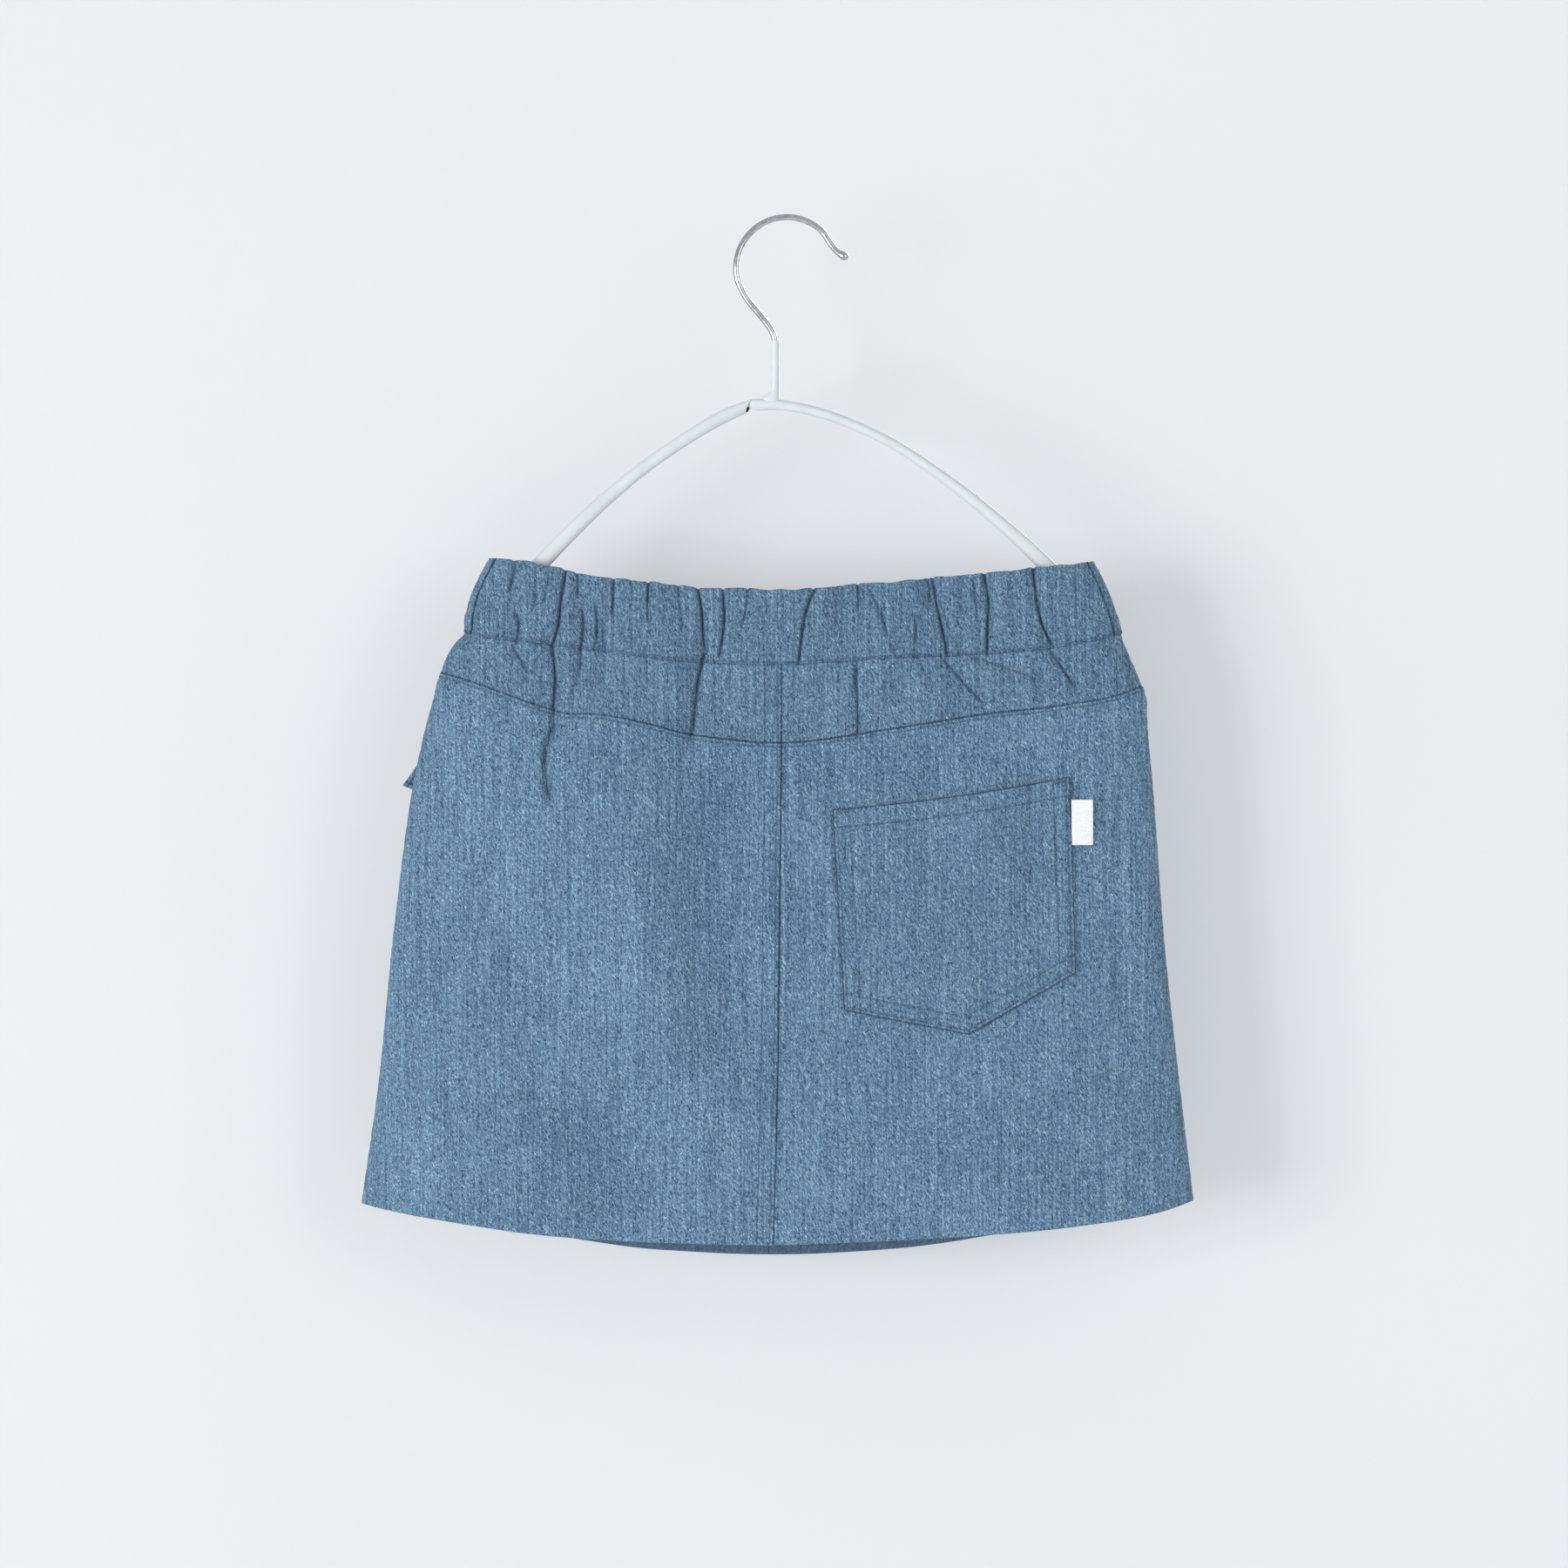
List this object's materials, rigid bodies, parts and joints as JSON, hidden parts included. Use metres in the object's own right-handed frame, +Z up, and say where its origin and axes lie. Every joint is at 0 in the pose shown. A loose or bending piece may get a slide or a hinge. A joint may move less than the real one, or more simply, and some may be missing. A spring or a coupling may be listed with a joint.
{
  "type": "denim mini skirt on a white clothes hanger",
  "caption": "Child's denim mini skirt with a gathered elastic waist, back yoke and one back pocket, hung flat on a white arched hanger.",
  "frame": {"origin": "highest point inside the hanger's hook, where it bears on a rail", "axes": "+Z up, +X to the right of someone facing the skirt's back, +Y from the back to the front"},
  "size_m": [0.3916, 0.0432, 0.492],
  "materials": {
    "denim": "washed light blue denim with a crinkled surface",
    "band_denim": "the same denim, gathered and a little darker",
    "woven_label": "matt white woven tape",
    "white_coating": "satin white plastic coating on steel",
    "chromed_wire": "polished"
  },
  "bodies": {
    "root": {"waistband_back": "band_denim", "waistband_front": "band_denim", "yoke_back_left": "denim", "yoke_back_right": "denim", "back_panel_left": "denim", "back_panel_right": "denim", "front_panel_left": "denim", "front_panel_right": "denim", "back_pocket": "denim", "pocket_label": "woven_label", "front_pocket_flap": "denim", "hanger_arch": "white_coating", "hanger_hook": "chromed_wire"}
  },
  "joints": []
}
